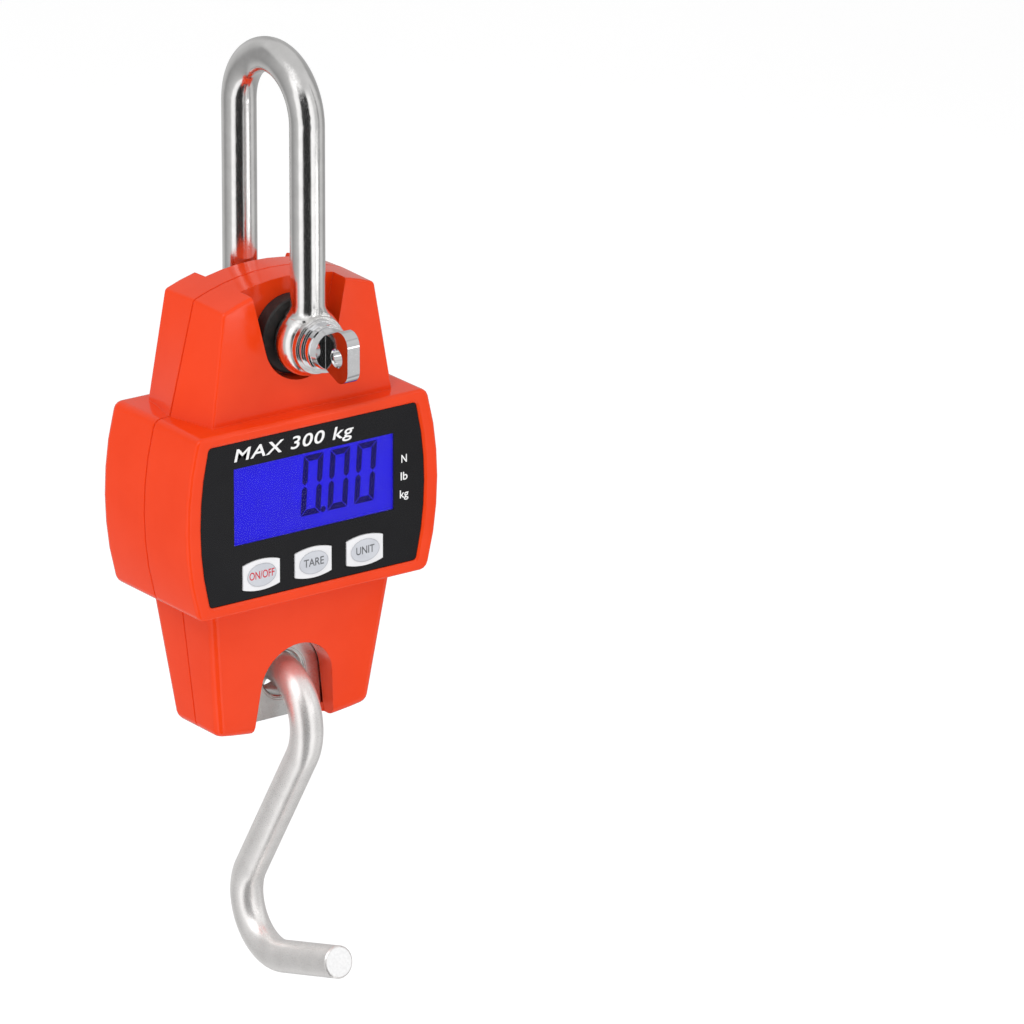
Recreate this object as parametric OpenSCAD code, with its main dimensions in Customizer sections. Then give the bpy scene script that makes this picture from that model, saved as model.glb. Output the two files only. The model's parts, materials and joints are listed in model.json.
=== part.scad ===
/* [Middle block] */
// Width of the display block across its bowed sides
case_w = 72.6; // [71:0.2:74]
// Height of the display block
case_h = 45.8; // [45:0.2:47]
// Depth of the whole housing, front face to back face
case_d = 36.6; // [36.6:0.1:37.6]
// How far each side of the block bows out
side_bow = 3.3; // [2:0.1:4]
// Wall thickness of the shells
wall = 2.2; // [2:0.1:2.4]

/* [Upper section] */
// Half width of the parting line at the block
upper_seam_half = 29.8; // [28:0.2:30]
// Half width of the front and back faces at the block
upper_face_half = 26.6; // [25:0.2:27]
// Half width at the two top corners
upper_corner_half = 21.7; // [21:0.1:22]
// Height of the top corners over the middle of the display
upper_corner_z = 50.4; // [50:0.1:51]
// Height of the arched top over the middle of the display
upper_crown_z = 54.5; // [54:0.1:55]
// Depth of the face at the block
upper_face_y = 13.9; // [13.2:0.1:14.2]
// Spread of the leg channel's sides from upright, in degrees
channel_spread = 13; // [10:1:15]

/* [Lower section] */
// Half width of the parting line at the block
lower_seam_half = 26.6; // [26:0.2:28]
// Half width of the faces at the block
lower_face_half = 26.8; // [26:0.2:28]
// Half width at the bottom corners
lower_corner_half = 22; // [21:0.2:23]
// Depth of the corners under the middle of the display
lower_corner_z = 57.2; // [56.5:0.1:58]
// Depth of the curved bottom edge under the middle of the display
lower_crown_z = 59.2; // [58.5:0.1:60]
// Spread of the hook arch's sides from upright, in degrees
arch_spread = 6; // [4:1:8]

/* [Shackle] */
// Diameter of the shackle's bar
shackle_bar = 8.4; // [8:0.1:8.6]
// Distance between the centres of the two legs
leg_gap = 28.2; // [28:0.1:29]
// Height of the middle of the bow over the middle of the display
bow_z = 92.95; // [92:0.05:94]
// How far the shackle sits forward of the housing's parting line
shackle_lead = 1.75; // [1.5:0.05:2.5]
// Height of the pin over the middle of the display
pin_z = 40.6; // [40.4:0.1:40.8]
// Diameter of the pin
pin_d = 7.9; // [7.8:0.02:7.94]

/* [Hook] */
// Diameter of the hook's bar
hook_bar = 8.1; // [8:0.05:8.15]
// Radius of the closed upper bend, on the bar's centre line
hook_top_r = 13; // [12.9:0.05:13.1]
// Radius of the open lower bend, on the bar's centre line
hook_low_r = 12.7; // [12:0.1:13]
// Length of the straight run that ends in the cut tip
hook_tip = 24.1; // [22:0.1:26]
// Depth of the hook's pivot under the middle of the display
hook_z = 46.6; // [46.4:0.1:46.8]

/* [Display and keys] */
// Width of the display window
window_w = 46; // [45:0.1:47]
// Height of the display window
window_h = 19.2; // [19:0.1:19.6]
// Distance between neighbouring keys
key_pitch = 14.95; // [14.8:0.05:15.2]
// Depth of the keys under the middle of the display block
key_drop = 14.3; // [14:0.1:14.6]

/* [Hidden] */

$fn = 64;
over = 1; // how far a cutter runs past the face it opens

// Housing, from the middle of the display: X to the right, Y to the back, Z up
half_w = case_w / 2;
half_h = case_h / 2;
half_d = case_d / 2;
bow_r = (half_h * half_h + side_bow * side_bow) / (2 * side_bow);
upper_tip_y = 12.5; // depth of the upper faces at the top corners
lower_top_y = 13.7; // depth of the lower faces at the block
lower_tip_y = 9.4; // depth of the lower faces at the bottom corners
sink = 4; // how far the upper and lower sections reach into the block
corner_r = 2.4; // corners of the block, seen from the front
tip_r = 1.2; // corners at the top
foot_r = 2.4; // corners at the bottom
front_round = 1; // rounding of the front edges
back_round = 2; // rounding of the back edges
upper_round = 0.8;
lower_round = 2.1;
hollow_round = 0.4;
upper_draft = 0.3; // how much lower the top is at the faces than at the parting line
seam_groove = 0.28; // half width of the groove along the parting line
seam_depth = 0.7;

// Load cell and the slot that it stands in
cell_w = 22;
cell_t = 9.5;
cell_top_z = 51;
cell_low_z = -57.3;
gauge_z = 9; // height of the two bores that leave the thin walls for the gauges
gauge_bore_r = 7.5;
gauge_slit = 2.5;
gauge_t = 0.2;
slot_w = cell_w + 0.6;
slot_half = cell_t / 2 + 0.45;
floor_y = 7.3; // depth of the channels' floors
channel_r = 10.3;
arch_r = 10.3;
grommet_r = 9.5;
front_lip_y = 11;
bush_r = 6;
hook_bush_r = 6.6;
hook_bore_r = 5.6;
pin_r = pin_d / 2;

// Layers behind the front face
fascia_t = 0.8;
fascia_y = -half_d + 0.5;
fascia_back_y = fascia_y + fascia_t;
plate_back_y = -15.4; // back of the wall behind the fascia
fascia_half_w = 32.2;
fascia_half_h = 19.85;
window_x = 0.3;
window_z = 3.8;
lcd_w = 50;
lcd_h = 23.4;
lcd_front_y = -15;
lcd_t = 2.6;
lcd_ledge = 3.4;
lcd_lens_lip = 0.25;
frame_lip = 0.3;
backlight_t = 1.9;
board_front_y = -10.1;
board_t = 1.6;
board_back_y = board_front_y + board_t;
board_half_w = 25.5;
board_screw_x = 23.4;
board_screw_z = [-18, 17];
key_x = [-0.2 - key_pitch, -0.2, -0.2 + key_pitch];
key_half_w = 5.25;
key_half_h = 3.85;
key_gap = 0.2;

// Battery bay, open at the back
cell_aaa_d = 10.5;
cell_aaa_l = 44.5;
cell_aaa_pitch = 11.2;
bay_half_w = 24.4;
bay_half_h = 17;
bay_wall = 1.2;
bay_floor_y = 5.0;
bay_floor_t = 0.7;
battery_y = bay_floor_y + bay_floor_t + 0.05 + cell_aaa_d / 2;
cover_t = 1.6;
foam_t = 0.35;
cover_half_w = bay_half_w - 0.3;
cover_half_h = bay_half_h - 0.3;
cover_pivot_y = half_d - cover_t / 2;
cover_pivot_z = cover_half_h - cover_t / 2;
contact_t = 0.3;
tail_x = 23; // where the contacts' tails pass through the bay's floor
tail_z = -12.9;
tail_slot_half = 1.5;
finger_half_w = 5; // notch under the cover's lower edge, for a fingernail
finger_reach = 2.4;
hinge_r = 0.62;
hinge_reach = 0.8;

// Screws that hold the shells together: x, z, reach of the bosses, where the head sits
screw_places = [[18.4, 42, 11.6, 5.5], [30.9, 0, 16.8, 11], [16.6, -49.5, 9, 3.4]];
screw_head_r = 2.4;
screw_r = 1.25;
screw_tip_y = -6.5;
boss_r = 2.7;
back_boss_r = 3.5;
boss_seam_gap = 0.1;

// Shackle and pin
bar_r = shackle_bar / 2;
eye_r = 8.5;
eye_fillet = 3.5;
ring_r = 6.95;
bow_r_mid = leg_gap / 2;
front_eye_y = -shackle_lead - bow_r_mid;
back_eye_y = -shackle_lead + bow_r_mid;
ring_rise = 0.8;
ring_y = front_eye_y - bar_r - ring_rise;
washer_r = 6.4;
washer_t = 1.3;
washer_gap = 0.05;
washer_y = ring_y - washer_gap - washer_t;
free_gap = 0.25; // round the pin in the front eye
close_gap = 0.08; // round the pin in the back eye and in the load cell's bush
collar_r = 5.8;
collar_t = 2;
collar_y = washer_y - collar_t;
cone_t = 1.4;
tab_root_y = collar_y - cone_t;
tab_len = 9;
tab_t = 3.5;
tab_half_h = 6.3;
tab_root_half = 4; // half height of the tab where it meets the cone
tab_sunk = 0.6; // how far the tab's root runs into the cone
tab_waist = 5; // distance forward at which the tab has its full height
tab_corner_r = 3.3;
tab_hole_r = 2;
tab_hole_ahead = 4.5;
tab_hole_drop = 0.4;
tab_hole_flare = 0.35;
thread_pitch = 1.25;
crown_z = bow_z + bow_r_mid - bar_r; // inner crown of the bow, where the scale hangs

// Puts a part, drawn from the middle of the display, in the frame that hangs from the bow's crown
module place() {
    translate([0, shackle_lead, -crown_z])
        children();
}

// A cylinder along Y, from y0 to y1
module rod_y(r, y0, y1) {
    translate([0, y0, 0])
        rotate([-90, 0, 0])
            cylinder(r = r, h = y1 - y0);
}

// A cylinder along X, from x0 to x1
module rod_x(r, x0, x1) {
    translate([x0, 0, 0])
        rotate([0, 90, 0])
            cylinder(r = r, h = x1 - x0);
}

// A ring along Y, from y0 to y1
module ring_y_axis(outer, inner, y0, y1) {
    difference() {
        rod_y(outer, y0, y1);
        rod_y(inner, y0 - over, y1 + over);
    }
}

// An outline in X and Z, pushed out along Y from y0 to y1
module slab_y(y0, y1) {
    translate([0, y1, 0])
        rotate([90, 0, 0])
            linear_extrude(y1 - y0)
                children();
}

// A box between two corners
module block(low, high) {
    translate(low)
        cube(high - low);
}

// Outlines
function unit(v) = v / norm(v);
function turn_left(v) = [-v[1], v[0]];
function shorter(a) = a > 180 ? a - 360 : a < -180 ? a + 360 : a;
function corner_arc(a, b, c, r, n) = let (
        u = unit(a - b),
        v = unit(c - b),
        half = acos(u * v) / 2,
        mid = b + unit(u + v) * r / sin(half),
        first = b + u * r / tan(half) - mid,
        last = b + v * r / tan(half) - mid,
        from = atan2(first[1], first[0]),
        sweep = shorter(atan2(last[1], last[0]) - from)
    ) [for (k = [0:n]) mid + r * [cos(from + sweep * k / n), sin(from + sweep * k / n)]];
function rounded(p, r, n) = let (count = len(p)) [
    for (i = [0:count - 1])
        each (r[i] == 0 ? [p[i]]
            : corner_arc(p[(i + count - 1) % count], p[i], p[(i + 1) % count], r[i], n))];
function inset(p, d) = let (count = len(p)) [
    for (i = [0:count - 1]) let (
            before = turn_left(unit(p[i] - p[(i + count - 1) % count])),
            after = turn_left(unit(p[(i + 1) % count] - p[i])),
            both = unit(before + after)
        ) p[i] + both * d / (both * before)];
function ellipse(a, b, n) = [for (i = [0:n - 1]) [a * cos(360 * i / n), b * sin(360 * i / n)]];

// A block outline with bowed sides, counterclockwise from its bottom right corner
function bowed(w, h, bulge_r, r) = let (
        dip = function (z) bulge_r - sqrt(bulge_r * bulge_r - z * z),
        steps = [-0.6, -0.3, 0, 0.3, 0.6],
        right = [for (t = steps) [w - dip(t * h), t * h]],
        left = [for (t = steps) [dip(t * h) - w, -t * h]],
        edge = w - dip(h),
        corners = [[edge, -h], [edge, h], [-edge, h], [-edge, -h]]
    ) rounded(concat([corners[0]], right, [corners[1], corners[2]], left, [corners[3]]),
        [r, 0, 0, 0, 0, 0, r, r, 0, 0, 0, 0, 0, r], 3);

// A tapering outline whose far edge is an arc: half widths at the root and the corners,
// heights of the root, the corners and the crown of the arc
function tapered(root, tip, z0, z1, z2, r) = let (
        rise = z2 - z1,
        arc_r = (tip * tip + rise * rise) / (2 * rise),
        reach = asin(tip / arc_r),
        right = [for (t = [0.25, 0.5, 0.75]) [root + (tip - root) * t, z0 + (z1 - z0) * t]],
        left = [for (t = [0.75, 0.5, 0.25]) [-root - (tip - root) * t, z0 + (z1 - z0) * t]],
        arc = [for (k = [-4:4]) [-arc_r * sin(reach * k / 5), z2 - arc_r + arc_r * cos(reach * k / 5)]]
    ) rounded(concat([[-root, z0], [root, z0]], right, [[tip, z1]], arc, [[-tip, z1]], left),
        concat([0, 0, 0, 0, 0, r], [for (p = arc) 0], [r, 0, 0, 0]), 3);

function middle(ring) = [for (k = [0:2]) [for (p = ring) p[k]] * [for (p = ring) 1 / len(ring)]];

// A solid skinned over rings that have the same number of points
module skin(rings) {
    count = len(rings[0]);
    last = len(rings) - 1;
    first_mid = (last + 1) * count;
    points = concat([for (ring = rings) each ring], [middle(rings[0]), middle(rings[last])]);
    sides = [
        for (k = [0:last - 1], i = [0:count - 1]) let (
                j = (i + 1) % count,
                a = k * count + i,
                b = k * count + j
            ) each [[a, b + count, b], [a, a + count, b + count]]];
    first_cap = [for (i = [0:count - 1]) [first_mid, i, (i + 1) % count]];
    last_cap = [for (i = [0:count - 1]) [first_mid + 1, last * count + (i + 1) % count, last * count + i]];
    polyhedron(points, concat(sides, first_cap, last_cap), convexity = 6);
}

// Depth and inset of each ring of a half shell: groove at the seam, then the rounded face edge
function half_rings(round_r, groove) = concat(
    groove > 0 ? [[0, 0, seam_depth], [0, groove, 0]] : [[0, 0, 0]],
    [for (a = [0, 30, 60, 90]) [1, round_r * (sin(a) - 1), round_r * (1 - cos(a))]]);

// One half of a section, from the parting line forward: outlines at the seam and at the face,
// depths of the face at heights za and zb, and how much smaller all of it is
module half_section(seam, face, za, ya, zb, yb, round_r, groove, shrink) {
    face_depth = function (z) ya + (yb - ya) * (z - za) / (zb - za) - shrink;
    skin([
        for (ring = half_rings(round_r, groove)) let (
                line = ring[0] == 0 ? seam : face,
                flat = inset(line, shrink + ring[2])
            ) [for (p = flat) [p[0], -(ring[0] == 0 ? ring[1] : face_depth(p[1]) + ring[1]), p[1]]]]);
}

module middle_half(round_r, groove, shrink, depth) {
    line = bowed(half_w, half_h, bow_r, corner_r + shrink);
    half_section(line, line, 0, depth + shrink, 1, depth + shrink, round_r, groove, shrink);
}

module upper_half(round_r, groove, shrink) {
    z0 = half_h - sink;
    seam = tapered(upper_seam_half, upper_corner_half, z0, upper_corner_z, upper_crown_z, tip_r + shrink);
    face = tapered(upper_face_half, upper_corner_half, z0, upper_corner_z - upper_draft,
        upper_crown_z - upper_draft, tip_r + shrink);
    half_section(seam, face, z0, upper_face_y, upper_corner_z, upper_tip_y, round_r, groove, shrink);
}

module lower_half(round_r, groove, shrink) {
    z0 = half_h - sink;
    seam = tapered(lower_seam_half, lower_corner_half, z0, lower_corner_z, lower_crown_z, foot_r + shrink);
    face = tapered(lower_face_half, lower_corner_half, z0, lower_corner_z, lower_crown_z, foot_r + shrink);
    rotate([0, 180, 0])
        half_section(seam, face, z0, lower_top_y, lower_corner_z, lower_tip_y, round_r, groove, shrink);
}

// The round-ended opening of a channel or of the arch, its round end down at the origin
function slot_outline(r, spread, reach, n) = concat(
    [for (k = [0:n]) let (a = 180 + spread + (180 - 2 * spread) * k / n) r * [cos(a), sin(a)]],
    [for (s = [1, -1]) [s * (r * cos(spread) + (reach + r * sin(spread)) * tan(spread)), reach]]);

// The channels for the shackle's legs, from the depth y0 out through the faces
module leg_channels(grow, y0) {
    outline = slot_outline(channel_r + grow, channel_spread, 20, 18);
    for (side = [0, 1])
        mirror([0, side, 0])
            translate([0, 0, pin_z])
                slab_y(-half_d, -y0)
                    polygon(outline);
}

// The arch over the hook, from the depth y0 out through the faces
module hook_arch(grow, y0) {
    outline = slot_outline(arch_r + grow, arch_spread, 20, 18);
    for (side = [0, 1])
        mirror([0, side, 0])
            translate([0, 0, -hook_z - 0.5])
                slab_y(-half_d, -y0)
                    mirror([0, 1])
                        polygon(outline);
}

// Outside of the front half of the housing
module outer_half(edge_round) {
    middle_half(edge_round, seam_groove, 0, half_d);
    upper_half(upper_round, seam_groove, 0);
    lower_half(lower_round, seam_groove, 0);
}

// Hollow of the front half, less the walls of the channel and of the arch
module hollow_half(depth) {
    difference() {
        union() {
            middle_half(hollow_round, 0, wall, depth);
            upper_half(hollow_round, 0, wall);
            lower_half(hollow_round, 0, wall);
        }
        leg_channels(wall - 0.2, slot_half);
        hook_arch(wall - 0.4, slot_half);
    }
}

// The slot for the load cell, open at the bottom
module cell_slot() {
    block([-slot_w / 2, -slot_half, -80], [slot_w / 2, slot_half, cell_top_z + 0.5]);
}

// What both shells lose: hollow, channel, arch, cell slot and the openings round the pin
module common_cuts() {
    leg_channels(0, floor_y);
    hook_arch(0, slot_half);
    cell_slot();
    translate([0, 0, pin_z])
        rod_y(grommet_r, -floor_y - over, floor_y + over);
}

// A key's outline, with bowed upper and lower edges
module key_outline(grow) {
    bow = 0.85;
    arc_r = (key_half_w * key_half_w + bow * bow) / (2 * bow);
    reach = asin(key_half_w / arc_r);
    edge = [
        for (k = [-5:5]) let (a = reach * k / 5)
            [arc_r * sin(a), key_half_h - arc_r + arc_r * cos(a)]];
    low = [for (p = edge) [p[0], -p[1]]];
    high = [for (k = [10:-1:0]) edge[k]];
    polygon(inset(concat(low, high), -grow));
}

module fascia_outline(grow) {
    polygon(bowed(fascia_half_w + grow, fascia_half_h + grow, bow_r, 1 + grow));
}

module window_outline(grow) {
    translate([window_x, window_z])
        square([window_w + 2 * grow, window_h + 2 * grow], center = true);
}

// Runs its children at each screw on both sides, with $place as that screw's entry
module at_screws() {
    for (s = [-1, 1], $place = screw_places)
        translate([s * $place[0], 0, $place[1]])
            children();
}

module front_shell() {
    color([0.93, 0.28, 0.17])
        place()
            difference() {
                union() {
                    difference() {
                        outer_half(front_round);
                        hollow_half(-plate_back_y);
                    }
                    at_screws()
                        rod_y(boss_r, -$place[2], -boss_seam_gap);
                }
                common_cuts();
                slab_y(-half_d - over, fascia_back_y)
                    fascia_outline(0.15);
                skin([
                    for (step = [[-half_d - 0.01, 0.75], [fascia_y - 0.05, 0.1]])
                        [for (p = bowed(fascia_half_w + step[1], fascia_half_h + step[1], bow_r, 1 + step[1]))
                            [p[0], step[0], p[1]]]]);
                slab_y(-half_d, plate_back_y + over)
                    window_outline(0.45);
                for (x = key_x)
                    translate([x, 0, -key_drop])
                        slab_y(-half_d, plate_back_y + over)
                            key_outline(0.35);
                at_screws()
                    rod_y(screw_r - 0.1, screw_tip_y - 1, over);
            }
}

module rear_shell() {
    color([0.93, 0.28, 0.17])
        place()
            difference() {
                union() {
                    difference() {
                        mirror([0, 1, 0])
                            outer_half(back_round);
                        mirror([0, 1, 0])
                            hollow_half(half_d - 2);
                    }
                    battery_tray();
                    at_screws()
                        rod_y(back_boss_r, boss_seam_gap, $place[2]);
                }
                common_cuts();
                block([-bay_half_w, bay_floor_y + bay_floor_t, -bay_half_h],
                    [bay_half_w, half_d + over, bay_half_h]);
                block([-finger_half_w, cover_pivot_y - 1, -bay_half_h - finger_reach],
                    [finger_half_w, half_d + over, -bay_half_h + over]);
                translate([0, cover_pivot_y, cover_pivot_z])
                    rod_x(hinge_r + 0.08, -bay_half_w - hinge_reach - 0.1, bay_half_w + hinge_reach + 0.1);
                for (x = [-tail_x, tail_x])
                    block([x - tail_slot_half, bay_floor_y - over, tail_z - 0.6],
                        [x + tail_slot_half, bay_floor_y + over, tail_z + 0.6]);
                at_screws() {
                    rod_y(screw_r + 0.25, -over, half_d);
                    rod_y(screw_head_r + 0.3, $place[3], half_d + over);
                }
            }
}

// Walls and floor of the battery bay
module battery_tray() {
    block([-bay_half_w - bay_wall, bay_floor_y, -bay_half_h - bay_wall],
        [bay_half_w + bay_wall, half_d - 1.5, bay_half_h + bay_wall]);
}

module case_screws() {
    color([0.62, 0.62, 0.6])
        place()
            at_screws()
                difference() {
                    union() {
                        rod_y(screw_head_r, $place[3], $place[3] + 1.6);
                        rod_y(screw_r - 0.12, screw_tip_y, $place[3] + 0.5);
                    }
                    for (turn = [0, 90])
                        rotate([0, turn, 0])
                            block([-1.5, $place[3] + 0.7, -0.3], [1.5, $place[3] + 3, 0.3]);
                }
}

module load_cell() {
    color([0.78, 0.78, 0.77])
        place()
            difference() {
                block([-cell_w / 2, -cell_t / 2, cell_low_z], [cell_w / 2, cell_t / 2, cell_top_z]);
                translate([0, 0, pin_z])
                    rod_y(bush_r, -cell_t, cell_t);
                translate([0, 0, -hook_z])
                    rod_y(hook_bush_r, -cell_t, cell_t);
                for (z = [-gauge_z, gauge_z])
                    translate([0, 0, z])
                        rod_y(gauge_bore_r, -cell_t, cell_t);
                block([-gauge_slit, -cell_t, -gauge_z], [gauge_slit, cell_t, gauge_z]);
                for (x = [-1, 1], z = [-1, 1])
                    translate([x * cell_w / 2, 0, z > 0 ? cell_top_z : cell_low_z])
                        rotate([0, 45, 0])
                            cube([1.4, cell_t + 2, 1.4], center = true);
            }
}

module upper_bush() {
    color([0.72, 0.72, 0.7])
        place()
            translate([0, 0, pin_z])
                ring_y_axis(bush_r, pin_r + close_gap, -cell_t / 2, cell_t / 2);
}

// Hardened ring that the hook hangs in, with a step and a chamfer at each end
module lower_bush() {
    end = 4.65;
    step = 4.25;
    step_r = 6.15;
    chamfer = 0.35;
    half = [[hook_bore_r, step - chamfer], [hook_bore_r + chamfer, step], [step_r, step], [step_r, end],
        [hook_bush_r, end]];
    color([0.7, 0.7, 0.69])
        place()
            translate([0, 0, -hook_z])
                rotate([90, 0, 0])
                    rotate_extrude()
                        polygon(concat(half, [for (k = [4:-1:0]) [half[k][0], -half[k][1]]]));
}

module strain_gauges() {
    color([0.85, 0.62, 0.3])
        place()
            for (x = [-1, 1], z = [-gauge_z, gauge_z])
                translate([x * (cell_w + gauge_t) / 2, 0, z])
                    cube([gauge_t, 4, 7], center = true);
}

// Rubber ring in the floor of a channel, which stands out to the depth lip_y
module grommet(lip_y) {
    hole_r = 4.7;
    recess_r = 6.1;
    recess = 0.6;
    outer_r = grommet_r - 0.04;
    translate([0, 0, pin_z])
        rotate([90, 0, 0])
            rotate_extrude()
                polygon([
                    [hole_r, slot_half], [outer_r, slot_half],
                    [outer_r, lip_y - 0.3], [outer_r - 0.45, lip_y],
                    [recess_r + 0.3, lip_y], [recess_r, lip_y - recess],
                    [hole_r, lip_y - recess]]);
}

module front_grommet() {
    color([0.08, 0.08, 0.08])
        place()
            grommet(front_lip_y);
}

module rear_grommet() {
    color([0.08, 0.08, 0.08])
        place()
            mirror([0, 1, 0])
                grommet(floor_y + 0.15);
}

module main_board() {
    color([0.08, 0.35, 0.16])
        place()
            difference() {
                block([-board_half_w, board_front_y, -19.5], [board_half_w, board_back_y, 18.5]);
                for (x = [-1, 1], z = board_screw_z)
                    translate([x * board_screw_x, 0, z])
                        rod_y(1.1, board_front_y - over, board_back_y + over);
            }
}

module board_screws() {
    color([0.66, 0.66, 0.64])
        place()
            for (x = [-1, 1], z = board_screw_z)
                translate([x * board_screw_x, 0, z])
                    difference() {
                        union() {
                            rod_y(1, board_front_y - 3.5, board_back_y + 0.2);
                            rod_y(1.7, board_back_y, board_back_y + 1.2);
                        }
                        block([-1.2, board_back_y + 0.7, -0.2], [1.2, board_back_y + 2, 0.2]);
                    }
}

// A chip with gull-wing legs along its long sides, standing on the back of the board
module chip(w, h, legs) {
    leg_half = 0.2;
    leg_low = board_back_y + 0.5;
    leg_high = board_back_y + 0.75;
    foot_x = w / 2 + 0.65;
    block([-w / 2, board_back_y + 0.1, -h / 2], [w / 2, board_back_y + 1.5, h / 2]);
    for (s = [-1, 1], k = [0:legs - 1]) {
        z = (k - (legs - 1) / 2) * h / (legs + 0.5);
        block([s * w / 2 - 0.3, leg_low, z - leg_half], [s * (w / 2 + 0.5) + 0.3, leg_high, z + leg_half]);
        block([s * foot_x - 0.15, board_back_y, z - leg_half], [s * foot_x + 0.15, leg_high, z + leg_half]);
    }
}

module controller_chip() {
    color([0.1, 0.1, 0.1])
        place()
            translate([-17, 0, 6])
                chip(8, 9, 8);
}

module adc_chip() {
    color([0.12, 0.12, 0.12])
        place()
            translate([17.5, 0, 10.5])
                chip(4, 8, 6);
}

module crystal() {
    color([0.8, 0.8, 0.8])
        place()
            block([-22, board_back_y, -6.5], [-12.5, board_back_y + 3.2, -2.7]);
}

module buzzer() {
    color([0.1, 0.1, 0.1])
        place()
            translate([17.8, 0, -4])
                ring_y_axis(4.5, 0.8, board_back_y, board_back_y + 4);
}

module capacitor() {
    color([0.15, 0.2, 0.45])
        place()
            translate([-17.5, 0, -12.5])
                rod_y(2.5, board_back_y, board_back_y + 5.2);
}

module tact_switches() {
    color([0.2, 0.2, 0.2])
        place()
            for (x = key_x)
                translate([x, 0, -key_drop])
                    union() {
                        block([-3, board_front_y - 2.1, -3], [3, board_front_y, 3]);
                        rod_y(1.6, board_front_y - 2.4, board_front_y - 2);
                    }
}

// A layer of the display, centred behind the window
module display_layer(w, h, y0, y1) {
    translate([window_x, 0, window_z])
        block([-w / 2, y0, -h / 2], [w / 2, y1, h / 2]);
}

// The display's glass, with a ledge for its frame and a raised front that fills the window
module lcd_panel() {
    color([0.36, 0.38, 0.8])
        place()
            union() {
                display_layer(window_w + 2 * lcd_lens_lip, window_h + 2 * lcd_lens_lip,
                    fascia_back_y + 0.1, lcd_front_y + 0.1);
                display_layer(lcd_w, lcd_h - lcd_ledge, lcd_front_y, lcd_front_y + lcd_t / 2);
                display_layer(lcd_w, lcd_h, lcd_front_y + lcd_t / 2 - 0.1, lcd_front_y + lcd_t);
            }
}

module lcd_backlight() {
    backlight_y = lcd_front_y + lcd_t + 0.1;
    color([0.85, 0.88, 0.95])
        place()
            display_layer(lcd_w - 2, lcd_h - 5.8, backlight_y, backlight_y + backlight_t);
}

// Rubber contact strips between the glass and the board, along its top and bottom edges
module lcd_connectors() {
    color([0.75, 0.45, 0.55])
        place()
            for (z = [-1, 1])
                translate([window_x, 0, window_z + z * 10.4])
                    block([-22, lcd_front_y + lcd_t, -0.9], [22, board_front_y, 0.9]);
}

module lcd_frame() {
    color([0.92, 0.92, 0.9])
        place()
            difference() {
                display_layer(lcd_w + 1.3, lcd_h + 0.9, lcd_front_y - frame_lip, board_front_y);
                display_layer(lcd_w + 0.1, lcd_h + 0.1, lcd_front_y, board_front_y + over);
                display_layer(lcd_w - 2, lcd_h - lcd_ledge - 0.1, lcd_front_y - over, lcd_front_y + over);
            }
}

module display_window() {
    color([0.8, 0.85, 0.9, 0.35])
        place()
            slab_y(fascia_y, fascia_back_y)
                window_outline(-0.1);
}

module fascia_overlay() {
    color([0.12, 0.12, 0.14])
        place()
            slab_y(fascia_y, fascia_back_y)
                difference() {
                    fascia_outline(0);
                    window_outline(0);
                    for (x = key_x)
                        translate([x, -key_drop])
                            key_outline(key_gap);
                }
}

// A key: printed cap with a raised oval, a flange behind the wall, and a stem over its switch
module key_cap(x) {
    translate([x, 0, -key_drop])
        union() {
            slab_y(fascia_y - 0.25, plate_back_y + 0.3)
                key_outline(0);
            slab_y(fascia_y - 0.42, fascia_y)
                polygon(ellipse(4.2, 2.9, 32));
            block([-6.2, plate_back_y + 0.2, -4.6], [6.2, plate_back_y + 1, 4.6]);
            block([-1.5, plate_back_y + 0.5, -1.5], [1.5, board_front_y - 2.85, 1.5]);
        }
}

module key_on_off() {
    color([0.9, 0.92, 0.94])
        place()
            key_cap(key_x[0]);
}

module key_tare() {
    color([0.9, 0.92, 0.94])
        place()
            key_cap(key_x[1]);
}

module key_unit() {
    color([0.9, 0.92, 0.94])
        place()
            key_cap(key_x[2]);
}

// A round tube swept along a route, with a ring at each of its points
module tube(route, r, sides) {
    count = len(route);
    ahead = [for (i = [0:count - 1]) unit(route[min(i + 1, count - 1)] - route[max(i - 1, 0)])];
    skin([
        for (i = [0:count - 1]) let (
                across = unit(cross(ahead[i], abs(ahead[i][0]) < 0.9 ? [1, 0, 0] : [0, 1, 0])),
                up = cross(ahead[i], across)
            ) [
                for (k = [0:sides - 1]) let (a = -360 * k / sides)
                    route[i] + r * (cos(a) * across + sin(a) * up)]]);
}

// A smooth route through hand-placed points
function spline_point(a, b, c, d, t) = 0.5 * ((2 * b) + (c - a) * t
    + (2 * a - 5 * b + 4 * c - d) * t * t + (3 * b - a - 3 * c + d) * t * t * t);
function smooth(p, n) = let (last = len(p) - 1) concat([
        for (i = [0:last - 1], k = [0:n - 1])
            spline_point(p[max(i - 1, 0)], p[i], p[i + 1], p[min(i + 2, last)], k / n)],
    [p[last]]);

cell_cable_route = [[12.1, 0, -3], [13, 0.3, 0], [13.4, 0.5, 4], [13.5, 0, 8], [13.5, -2.5, 10],
    [13.5, -5.5, 11], [13.5, -8.4, 11]];
red_route = [[22.6, 4.2, tail_z], [22.6, 2.8, tail_z], [22.8, -0.5, -13.6], [22.8, -4, -14.2],
    [22.8, -8.4, -14.4]];
black_route = [for (p = red_route) [-p[0], p[1], p[2]]];

module cell_cable() {
    color([0.85, 0.85, 0.85])
        place()
            tube(smooth(cell_cable_route, 4), 0.8, 8);
}

module battery_wire_red() {
    color([0.8, 0.1, 0.1])
        place()
            tube(smooth(red_route, 4), 0.6, 8);
}

module battery_wire_black() {
    color([0.06, 0.06, 0.06])
        place()
            tube(smooth(black_route, 4), 0.6, 8);
}

// Batteries lie across the back, turned about in turn: places of their rows and of their positive ends
battery_rows = [-cell_aaa_pitch, 0, cell_aaa_pitch];
battery_ends = [1, -1, 1];

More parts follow.
